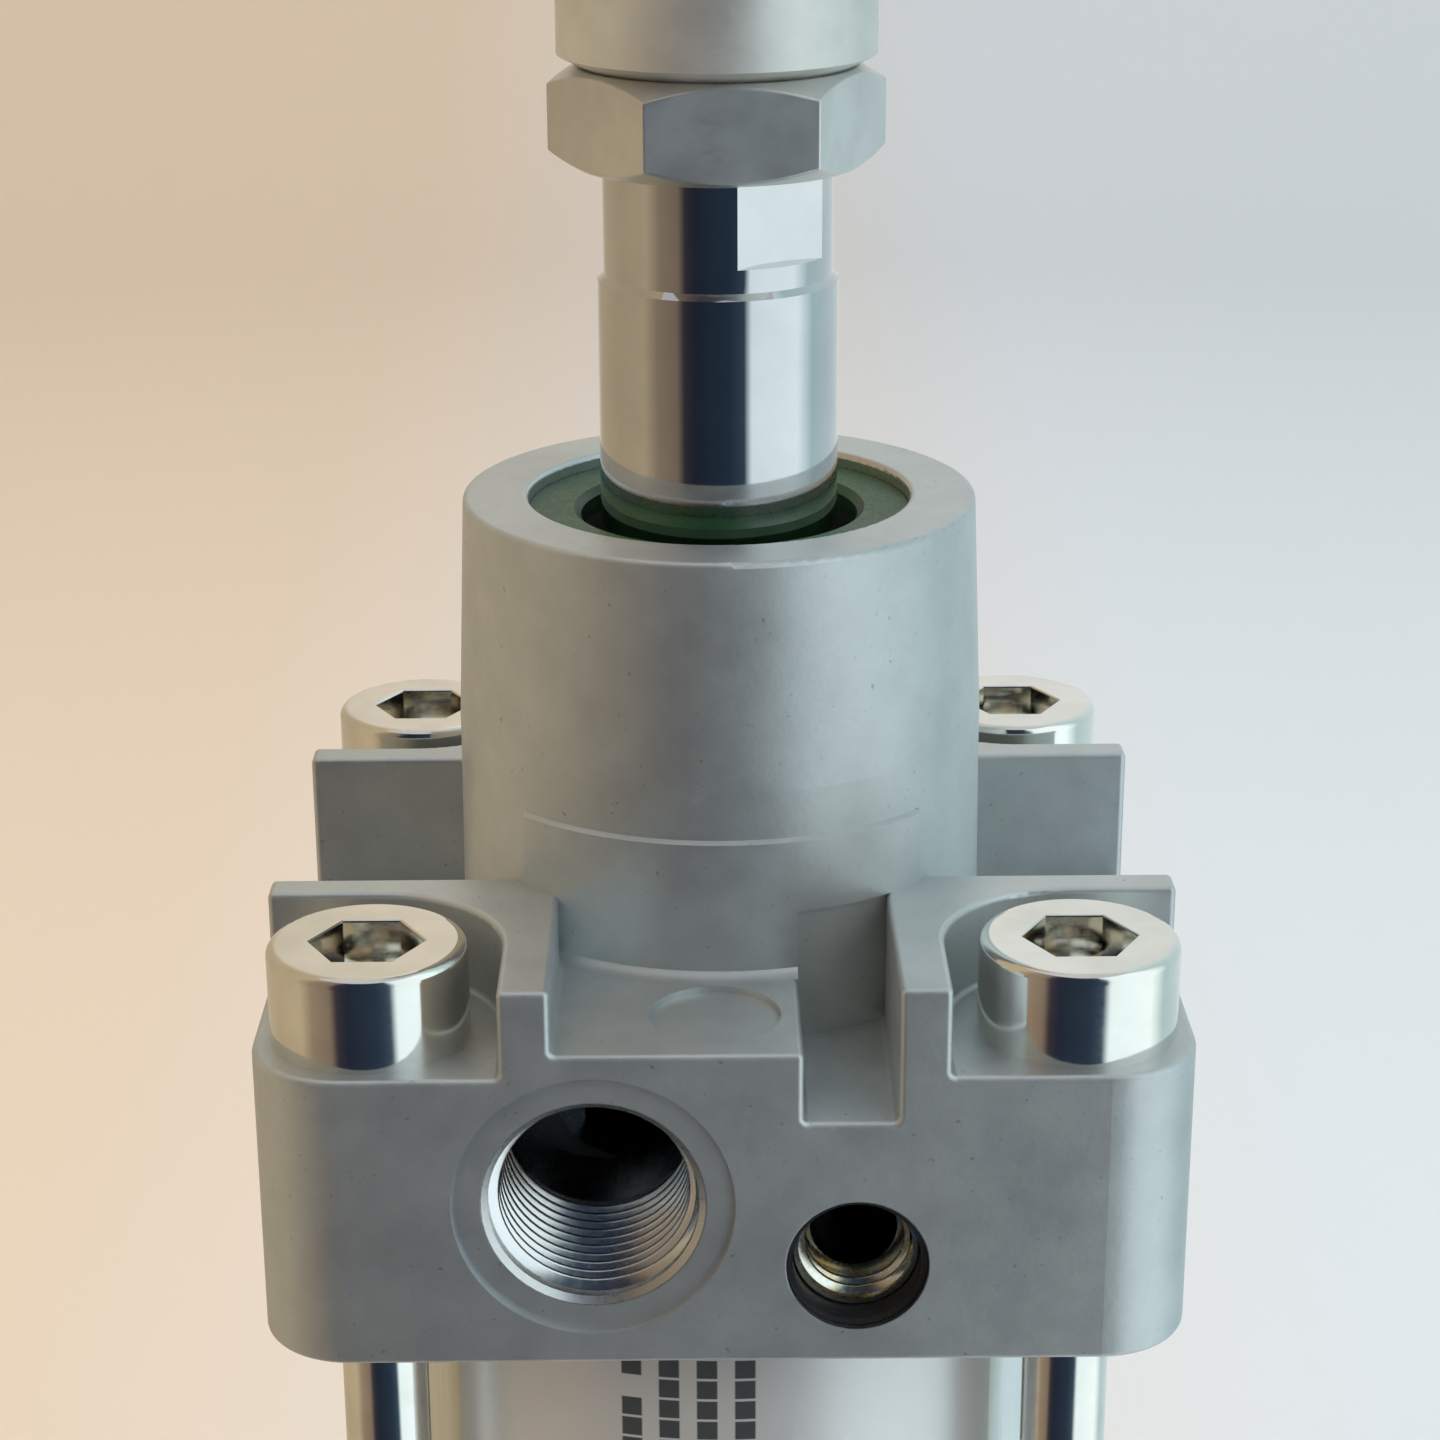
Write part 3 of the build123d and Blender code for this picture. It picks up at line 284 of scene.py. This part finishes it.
def cast_aluminium():
    """Die-cast aluminium with soft mottling, fine grain and pores; bored areas are machined."""
    s = Shader("cast_aluminium")
    mask, rings = bored_areas(s)
    s.drive("Metallic", s.spread(mask, 0.0, 1.0, 0.82, 1.0))
    grain = s.noise(0.5 * MM, detail=2.0)
    mottle = s.noise(5.0 * MM, detail=5.0, roughness=0.6)
    cloud = s.noise(22.0 * MM, detail=2.0)
    tone = s.math("ADD", s.math("MULTIPLY", mottle, 0.6), s.math("MULTIPLY", cloud, 0.4))
    cast = s.ramp(tone, [(0.32, (0.49, 0.52, 0.52)), (0.50, (0.55, 0.585, 0.585)),
                         (0.68, (0.61, 0.645, 0.64))])
    pores = s.spread(s.noise(0.7 * MM, detail=2.0), 0.70, 0.80, 0.0, 0.7)
    cast = s.mix(pores, cast, (0.20, 0.20, 0.19))
    s.drive("Base Color", s.mix(mask, cast, (0.66, 0.66, 0.65)))
    cast_roughness = s.spread(s.math("ADD", mottle, grain), 0.6, 1.4, 0.38, 0.50)
    machined = s.spread(grain, 0.3, 0.7, 0.26, 0.34)
    both = s.math("ADD", s.math("MULTIPLY", mask, machined),
                  s.math("MULTIPLY", s.math("SUBTRACT", 1.0, mask), cast_roughness))
    s.drive("Roughness", both)
    turning = s.math("SINE", s.math("MULTIPLY", rings, 2 * math.pi / TURNING_PITCH))
    as_cast = s.math("SUBTRACT", 1.0, mask)
    s.bump(s.math("MULTIPLY", mottle, as_cast), 0.06 * MM, 0.5)
    s.bump(s.math("MULTIPLY", grain, as_cast), 0.02 * MM, 0.6)
    s.bump(s.math("MULTIPLY", turning, mask), 0.0008 * MM, 0.5)
    return s.material


def machined_aluminium():
    """Cut aluminium of the port threads."""
    s = Shader("machined_aluminium", Metallic=1.0)
    grain = s.noise(0.8 * MM, detail=2.0)
    s.drive("Base Color", s.mix(grain, (0.80, 0.80, 0.79), (0.88, 0.88, 0.87)))
    s.drive("Roughness", s.spread(grain, 0.3, 0.7, 0.20, 0.28))
    s.bump(grain, 0.002 * MM, 0.3)
    return s.material


def drawn_aluminium():
    """Anodised barrel tube with faint lines along its length."""
    s = Shader("drawn_aluminium", Metallic=1.0)
    lines = s.noise(0.35 * MM, detail=2.0, stretch=(1.0, 1.0, 0.02))
    cloud = s.noise(18.0 * MM, detail=2.0)
    s.drive("Base Color", s.ramp(cloud, [(0.3, (0.74, 0.75, 0.74)), (0.7, (0.82, 0.83, 0.82))]))
    s.drive("Roughness", s.spread(lines, 0.3, 0.7, 0.26, 0.38))
    s.bump(lines, 0.004 * MM, 0.5)
    return s.material


def turned_aluminium():
    """Turned piston aluminium with fine rings."""
    return turned_metal("turned_aluminium", (0.72, 0.72, 0.71), (0.64, 0.64, 0.63),
                        (0.18, 0.30), (0.06, 0.06, 1.0), 0.003 * MM)


def turned_metal(name, colour, darker, roughness, stretch, line_depth, metallic=1.0):
    """Polished or turned metal: fine lines stretched along some axes, and faint clouds."""
    s = Shader(name, Metallic=metallic)
    lines = s.noise(0.22 * MM, detail=2.0, stretch=stretch)
    cloud = s.noise(6.0 * MM, detail=3.0)
    s.drive("Base Color", s.mix(s.spread(cloud, 0.35, 0.65, 0.0, 1.0), darker, colour))
    s.drive("Roughness", s.spread(s.math("ADD", lines, cloud), 0.7, 1.3, *roughness))
    s.bump(lines, line_depth, 0.5)
    return s.material


def chrome():
    """Hard chrome on the ground rod."""
    return turned_metal("chrome", (0.66, 0.66, 0.66), (0.61, 0.61, 0.61), (0.03, 0.07),
                        (0.05, 0.05, 1.0), 0.0005 * MM)


def zinc_plate():
    """Bright plated, turned steel of the nuts and tie rods."""
    return turned_metal("zinc_plate", (0.92, 0.90, 0.84), (0.82, 0.80, 0.74), (0.07, 0.15),
                        (0.08, 0.08, 1.0), 0.0015 * MM)


def zinc_nut():
    """Duller zinc plate of the lock nut."""
    return turned_metal("zinc_nut", (0.70, 0.70, 0.68), (0.60, 0.60, 0.585), (0.34, 0.44),
                        (0.5, 0.5, 1.0), 0.003 * MM, metallic=0.92)


def zinc_clevis():
    """Matt zinc plate over the turned clevis."""
    return turned_metal("zinc_clevis", (0.72, 0.73, 0.69), (0.63, 0.64, 0.60), (0.40, 0.52),
                        (0.15, 0.15, 1.0), 0.004 * MM, metallic=0.75)


def needle_brass():
    """Nickelled brass, worn to yellow in places, with painted shade that darkens the inside of the
    socket.
    """
    s = Shader("needle_brass", Metallic=1.0)
    wear = s.spread(s.noise(1.8 * MM, detail=4.0), 0.45, 0.62, 0.0, 1.0)
    plate = s.mix(wear, (0.92, 0.90, 0.82), (0.88, 0.74, 0.48))
    x, y, z = s.split()
    # painted shade: within the socket's radius and past a depth, the colour fades to near black
    depth = s.spread(y, SOCKET_SHADE_START, SOCKET_SHADE_FULL, 0.0, 1.0)
    needle = from_axis(s, x, z, NEEDLE_X, NEEDLE_FROM_MIDDLE)
    painted_socket_shade = s.math("MULTIPLY", depth, s.below(needle, SOCKET_RADIUS))
    s.drive("Base Color", s.mix(painted_socket_shade, plate, (0.03, 0.028, 0.025)))
    s.drive("Roughness", s.spread(s.noise(0.4 * MM), 0.3, 0.7, 0.16, 0.28))
    s.bump(s.noise(0.3 * MM), 0.003 * MM, 0.4)
    return s.material


def moulded(name, dark, light, roughness, grain=0.3, depth=0.006):
    """Moulded plastic or rubber with faint clouds and fine texture."""
    s = Shader(name)
    cloud = s.noise(4.0 * MM, detail=3.0)
    fine = s.noise(grain * MM, detail=2.0)
    s.drive("Base Color", s.mix(s.spread(cloud, 0.35, 0.65, 0.0, 1.0), dark, light))
    s.drive("Roughness", s.spread(fine, 0.3, 0.7, *roughness))
    s.bump(fine, depth * MM, 0.5)
    return s.material


def sintered_bronze():
    """Porous bronze of the rod bearing."""
    s = Shader("sintered_bronze", Metallic=1.0)
    pores = s.spread(s.noise(0.5 * MM, detail=3.0), 0.5, 0.62, 0.0, 1.0)
    s.drive("Base Color", s.mix(pores, (0.52, 0.38, 0.22), (0.25, 0.18, 0.11)))
    s.drive("Roughness", s.spread(pores, 0.0, 1.0, 0.3, 0.6))
    s.bump(pores, -0.01 * MM, 0.5)
    return s.material


def printed_label():
    """Silver film printed with plain broken bars that run along the barrel."""
    s = Shader("printed_label", Metallic=0.55)
    x, y, z = s.split()
    around = s.math("MULTIPLY", s.math("ARCTAN2", x, s.math("MULTIPLY", y, -1.0)), BARREL_RADIUS)
    column = s.math("DIVIDE", around, BAR_COLUMN)
    row = s.math("DIVIDE", z, BAR_ROW)
    cell = s.add("ShaderNodeCombineXYZ")
    s.link(s.math("FLOOR", column), cell.inputs[0])
    s.link(s.math("FLOOR", row), cell.inputs[1])
    dice = s.add("ShaderNodeTexWhiteNoise", noise_dimensions="2D")
    s.link(cell.outputs[0], dice.inputs["Vector"])
    across = s.math("ABSOLUTE", s.math("SUBTRACT", s.math("FRACT", column), 0.5))
    bar = s.below(across, 0.27, 0.02)
    lengthwise = s.math("ABSOLUTE", s.math("SUBTRACT", s.math("FRACT", row), 0.5))
    gap = s.below(lengthwise, 0.44, 0.02)
    chosen = s.math("GREATER_THAN", dice.outputs["Value"], 0.22)
    middle = s.math("SUBTRACT", around, BAR_FIELD_MIDDLE)
    field = s.below(s.math("ABSOLUTE", middle), BAR_FIELD_HALF_WIDTH)
    ink = s.math("MULTIPLY", s.math("MULTIPLY", bar, gap), s.math("MULTIPLY", chosen, field))
    cloud = s.noise(9.0 * MM, detail=2.0)
    film = s.mix(cloud, (0.66, 0.68, 0.68), (0.74, 0.76, 0.76))
    s.drive("Base Color", s.mix(ink, film, (0.10, 0.11, 0.12)))
    s.drive("Roughness", s.spread(s.noise(0.5 * MM), 0.3, 0.7, 0.30, 0.40))
    s.bump(ink, 0.004 * MM, 0.4)
    return s.material


MATERIAL_OF_SLOT = {
    "cast_aluminium": cast_aluminium(),
    "barrel_aluminium": drawn_aluminium(),
    "piston_aluminium": turned_aluminium(),
    "plated_steel": zinc_plate(),
    "nut_steel": zinc_nut(),
    "clevis_steel": zinc_clevis(),
    "chromed_rod": chrome(),
    "needle_brass": needle_brass(),
    "bearing_bronze": sintered_bronze(),
    "label": printed_label(),
    "black_rubber": moulded("black_rubber", (0.010, 0.010, 0.011), (0.020, 0.020, 0.021),
                            (0.42, 0.60)),
    "black_plastic": moulded("black_plastic", (0.010, 0.010, 0.011), (0.017, 0.017, 0.018),
                             (0.40, 0.55)),
    "green_plastic": moulded("green_plastic", (0.009, 0.048, 0.016), (0.016, 0.070, 0.025),
                             (0.35, 0.50)),
    "guide_plastic": moulded("guide_plastic", (0.55, 0.53, 0.48), (0.66, 0.64, 0.60),
                             (0.30, 0.45)),
    "magnet": moulded("magnet", (0.03, 0.03, 0.03), (0.05, 0.05, 0.05), (0.50, 0.70)),
}


def paint_cad_nodes():
    """Give every CAD node the material of its slot."""
    for part in frame["record"]["subparts"]:
        mesh = frame["nodes"][part["node"]].data
        material = MATERIAL_OF_SLOT[part["material_slot"]]
        for index in range(max(1, len(mesh.materials))):
            if index < len(mesh.materials):
                mesh.materials[index] = material
            else:
                mesh.materials.append(material)


# ---- threads ---------------------------------------------------------------------------

# outline of a ridge: offset along the axis in pitches, share of the ridge's height
RIDGE = ((-0.46, -0.04), (-0.15, 0.84), (-0.06, 1.0), (0.06, 1.0), (0.15, 0.84), (0.46, -0.04))
TURN_STEPS = 60
RUNOUT_STEPS = 20


def thread(name, sizes, start, axis, length, material, body):
    """Helical ridge of an inner thread, from start along axis, fading out at both ends."""
    wall, height, pitch = sizes
    bm = bmesh.new()
    along = Vector(axis).normalized()
    side = along.orthogonal().normalized()
    up = along.cross(side)
    steps = round((length / pitch - 1) * TURN_STEPS)
    rings = []
    for step in range(steps + 1):
        angle = 2 * math.pi * step / TURN_STEPS
        fade = min(1.0, step / RUNOUT_STEPS, (steps - step) / RUNOUT_STEPS)
        outward = side * math.cos(angle) + up * math.sin(angle)
        ring = []
        for offset, share in RIDGE:
            radius = wall - height * (share * fade if share > 0 else share)
            travel = pitch * (0.5 + step / TURN_STEPS + offset)
            ring.append(bm.verts.new(Vector(start) + along * travel + outward * radius))
        rings.append(ring)
    count = len(RIDGE)
    for ring, after in zip(rings, rings[1:]):
        for index in range(count):
            other = (index + 1) % count
            bm.faces.new((ring[index], ring[other], after[other], after[index]))
        for index in (0, count - 1):
            bm.edges.get((ring[index], after[index])).smooth = False
    bm.faces.new(rings[0])
    bm.faces.new(rings[-1])
    bmesh.ops.recalc_face_normals(bm, faces=bm.faces)
    obj = finish_mesh(name, bm, material)
    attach(obj, body)


def finish_mesh(name, bm, material):
    """Turn a bmesh into a smooth-shaded object with one material."""
    mesh = bpy.data.meshes.new(name)
    for face in bm.faces:
        face.smooth = True
    bm.to_mesh(mesh)
    bm.free()
    mesh.materials.append(material)
    obj = bpy.data.objects.new(name, mesh)
    bpy.context.scene.collection.objects.link(obj)
    return obj


def make_threads():
    """Threads in both ports, in the eight tie-rod nuts, in both needles and in the clevis."""
    cut = machined_aluminium()
    for end in ("front", "rear"):
        mount = MOUNTS[end + "_port"]
        x, _, z = mount["pos_m"]
        start = (x, FACE_Y + PORT_MOUTH, z)
        length = mount["dims"]["length_mm"] * MM - PORT_THREAD_SHORTER
        thread(end + "_port_thread", PORT_THREAD, start, (0, 1, 0), length, cut,
               "cylinder")
    half = MOUNTS["front_screws"]["dims"]["spacing_x_mm"] * MM / 2
    plated = MATERIAL_OF_SLOT["plated_steel"]
    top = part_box("front_tie_rod_nuts")[1].z - NUT_SOCKET_DEPTH
    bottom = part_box("rear_tie_rod_nuts")[0].z + NUT_SOCKET_DEPTH
    for end, level, way in (("front", top, -1), ("rear", bottom, 1)):
        for number, (sx, sy) in enumerate(((-1, -1), (1, -1), (-1, 1), (1, 1)), start=1):
            thread(f"{end}_nut_thread_{number}", NUT_THREAD, (sx * half, sy * half, level),
                   (0, 0, way), NUT_THREAD_DEPTH, plated, "cylinder")
    for end in ("front", "rear"):
        low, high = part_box(end + "_needle")
        start = (NEEDLE_X, low.y + NEEDLE_THREAD_INSET, (low.z + high.z) / 2)
        thread(end + "_needle_thread", NEEDLE_THREAD, start, (0, 1, 0), NEEDLE_THREAD_DEPTH,
               MATERIAL_OF_SLOT["needle_brass"], end + "_needle_screw")
    rod_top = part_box("piston_rod")[1].z
    start = (0, 0, rod_top + CLEVIS_THREAD_GAP)
    thread("clevis_thread", CLEVIS_THREAD, start, (0, 0, 1), CLEVIS_THREAD_DEPTH,
           MATERIAL_OF_SLOT["clevis_steel"], "rod")


# ---- studio ----------------------------------------------------------------------------


def lathe(name, profile, segments):
    """Smooth mesh of revolution about Z from (radius, height) points."""
    bm = bmesh.new()
    rings = []
    for radius, height in profile:
        ring = []
        for step in range(segments):
            angle = 2 * math.pi * step / segments
            ring.append(bm.verts.new((radius * math.cos(angle), radius * math.sin(angle), height)))
        rings.append(ring)
    for low, high in zip(rings, rings[1:]):
        for step in range(segments):
            after = (step + 1) % segments
            bm.faces.new((low[step], low[after], high[after], high[step]))
    mesh = bpy.data.meshes.new(name)
    bm.to_mesh(mesh)
    bm.free()
    mesh.shade_smooth()
    obj = bpy.data.objects.new(name, mesh)
    bpy.context.scene.collection.objects.link(obj)
    return obj


def make_floor():
    """Pale floor that curves up into a wall all round, with warm light painted on the left and cool
    light painted on the right.
    """
    profile = [(0.001, 0.0), (0.3, 0.0), (FLOOR_RADIUS, 0.0)]
    for step in range(1, 13):
        angle = math.pi / 2 * step / 12
        profile.append((FLOOR_RADIUS + COVE_RADIUS * math.sin(angle),
                        COVE_RADIUS * (1 - math.cos(angle))))
    profile.append((FLOOR_RADIUS + COVE_RADIUS, WALL_HEIGHT))
    floor = lathe("floor", profile, 96)
    s = Shader("floor", Roughness=0.9)
    # painted light: the warm light from the left and the cool light from the right are painted into
    # the floor's colour
    across = s.spread(s.split()[0], -0.5, 0.5, 0.0, 1.0)
    s.drive("Base Color", s.ramp(across, [
        (0.38, (0.72, 0.60, 0.47)), (0.62, (0.66, 0.72, 0.76))]))
    floor.data.materials.append(s.material)


def make_tent():
    """Wall of light seen only in reflections: warm on the left, dark in front, white on the right."""
    tent = lathe("light_tent", [(TENT_FOOT_RADIUS, TENT_FOOT), (TENT_RADIUS, TENT_FOOT),
                                (TENT_RADIUS, TENT_HEIGHT)], 128)
    material = bpy.data.materials.new("light_tent")
    material.use_nodes = True
    tree = material.node_tree
    tree.nodes.clear()
    place = tree.nodes.new("ShaderNodeTexCoord")
    split = tree.nodes.new("ShaderNodeSeparateXYZ")
    tree.links.new(place.outputs["Object"], split.inputs[0])
    angle = tree.nodes.new("ShaderNodeMath")
    angle.operation = "ARCTAN2"
    tree.links.new(split.outputs["X"], angle.inputs[0])
    flip = tree.nodes.new("ShaderNodeMath")
    flip.operation = "MULTIPLY"
    flip.inputs[1].default_value = -1.0
    tree.links.new(split.outputs["Y"], flip.inputs[0])
    tree.links.new(flip.outputs[0], angle.inputs[1])
    turn = tree.nodes.new("ShaderNodeMapRange")
    turn.inputs["From Min"].default_value = -math.pi
    turn.inputs["From Max"].default_value = math.pi
    tree.links.new(angle.outputs[0], turn.inputs["Value"])
    ramp = tree.nodes.new("ShaderNodeValToRGB")
    elements = ramp.color_ramp.elements
    for _ in range(len(TENT_COLOURS) - 2):
        elements.new(0.5)
    for element, (degrees, colour) in zip(elements, TENT_COLOURS):
        element.position = (degrees + 180) / 360
        element.color = (*colour, 1.0)
    tree.links.new(turn.outputs["Result"], ramp.inputs["Fac"])
    emission = tree.nodes.new("ShaderNodeEmission")
    tree.links.new(ramp.outputs["Color"], emission.inputs["Color"])
    output = tree.nodes.new("ShaderNodeOutputMaterial")
    tree.links.new(emission.outputs[0], output.inputs["Surface"])
    material.cycles.emission_sampling = "NONE"
    tent.data.materials.append(material)
    for ray in ("camera", "diffuse", "transmission", "volume_scatter", "shadow"):
        setattr(tent, "visible_" + ray, False)


def area_light(name, place, target, size, power, colour):
    """Soft square light aimed at a point, left out of reflections."""
    data = bpy.data.lights.new(name, "AREA")
    data.size = size
    data.energy = power
    data.color = colour
    light = bpy.data.objects.new(name, data)
    light.location = place
    aim = Vector(target) - Vector(place)
    light.rotation_euler = aim.to_track_quat("-Z", "Y").to_euler()
    light.visible_camera = False
    light.visible_glossy = False
    bpy.context.scene.collection.objects.link(light)


def make_lights():
    """World light and three soft lights."""
    world = bpy.data.worlds.new("world")
    bpy.context.scene.world = world
    world.use_nodes = True
    background = world.node_tree.nodes["Background"]
    background.inputs["Color"].default_value = (0.92, 0.94, 1.0, 1.0)
    background.inputs["Strength"].default_value = WORLD_STRENGTH
    for name, place, size, power, colour in LIGHTS:
        area_light(name, place, (0, 0, MOUNT_Z), size, power, colour)
    view = bpy.context.scene.view_settings
    view.view_transform = "Standard"
    view.look = "None"


make_camera()
paint_cad_nodes()
make_threads()
make_floor()
make_tent()
make_lights()
